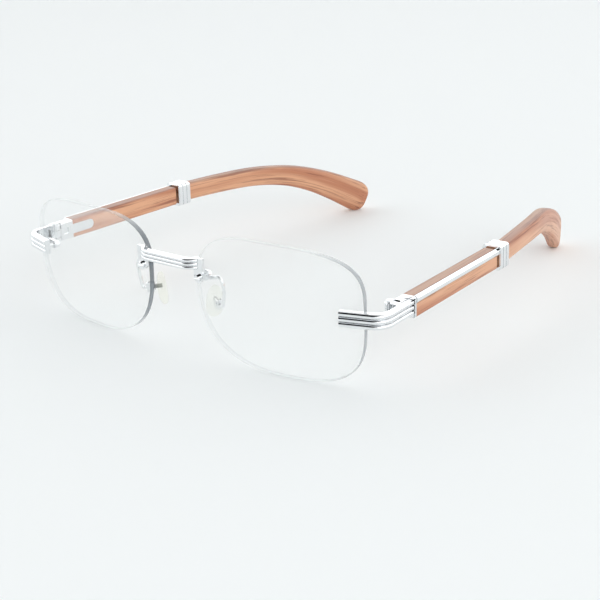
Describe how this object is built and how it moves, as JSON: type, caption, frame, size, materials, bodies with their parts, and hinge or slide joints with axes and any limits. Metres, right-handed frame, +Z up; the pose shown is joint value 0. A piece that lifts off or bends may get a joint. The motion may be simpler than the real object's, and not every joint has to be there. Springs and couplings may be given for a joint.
{
  "type": "eyeglasses",
  "caption": "Rimless eyeglasses: clear drilled lenses, ridged metal bridge and endpieces, rocking nose pads, and folding temples of wood with metal collars and inlaid rods.",
  "frame": {"origin": "centre of the footprint, on the plane that the lens bottoms and temple tips stand on", "axes": "+Z up, -Y to the front (the way the wearer looks), +Y back along the temples, +X to the wearer's left"},
  "size_m": [0.1418, 0.1622, 0.0403],
  "materials": {
    "lens": "clear polished",
    "metal": "mirror polished silver",
    "wood": "satin, long dark grain",
    "pad": "soft clear"
  },
  "bodies": {
    "front": {"bridge": "metal", "left_lens": "lens", "left_bridge_screw": "metal", "left_pad_plate": "metal", "left_bridge_nut": "metal", "left_pad_arm": "metal", "left_pad_box": "metal", "left_pad_screw": "metal", "left_endpiece": "metal", "left_endpiece_plate": "metal", "left_endpiece_nuts": "metal", "left_hinge_screw": "metal", "right_lens": "lens", "right_bridge_screw": "metal", "right_pad_plate": "metal", "right_bridge_nut": "metal", "right_pad_arm": "metal", "right_pad_box": "metal", "right_pad_screw": "metal", "right_endpiece": "metal", "right_endpiece_plate": "metal", "right_endpiece_nuts": "metal", "right_hinge_screw": "metal"},
    "left_temple": {"left_hinge_box": "metal", "left_wood_front": "wood", "left_inlay_rod": "metal", "left_temple_core": "metal", "left_collar": "metal", "left_wood_tip": "wood"},
    "right_temple": {"right_hinge_box": "metal", "right_wood_front": "wood", "right_inlay_rod": "metal", "right_temple_core": "metal", "right_collar": "metal", "right_wood_tip": "wood"},
    "left_pad": {"left_nose_pad": "pad", "left_pad_core": "metal"},
    "right_pad": {"right_nose_pad": "pad", "right_pad_core": "metal"}
  },
  "joints": [
    {"name": "left_temple_fold", "type": "hinge", "parent": "front", "child": "left_temple", "pos_m": [0.06646, -0.06181, 0.02199], "axis": [0, 0, 1], "range_deg": [0, 82]},
    {"name": "right_temple_fold", "type": "hinge", "parent": "front", "child": "right_temple", "pos_m": [-0.06646, -0.06181, 0.02199], "axis": [0, 0, -1], "range_deg": [0, 62]},
    {"name": "left_pad_rock", "type": "hinge", "parent": "front", "child": "left_pad", "pos_m": [0.01358, -0.07286, 0.01714], "axis": [0.4695, 0.8829, 0], "range_deg": [-8, 8]},
    {"name": "right_pad_rock", "type": "hinge", "parent": "front", "child": "right_pad", "pos_m": [-0.01358, -0.07286, 0.01714], "axis": [-0.4695, 0.8829, 0], "range_deg": [-8, 8]}
  ]
}
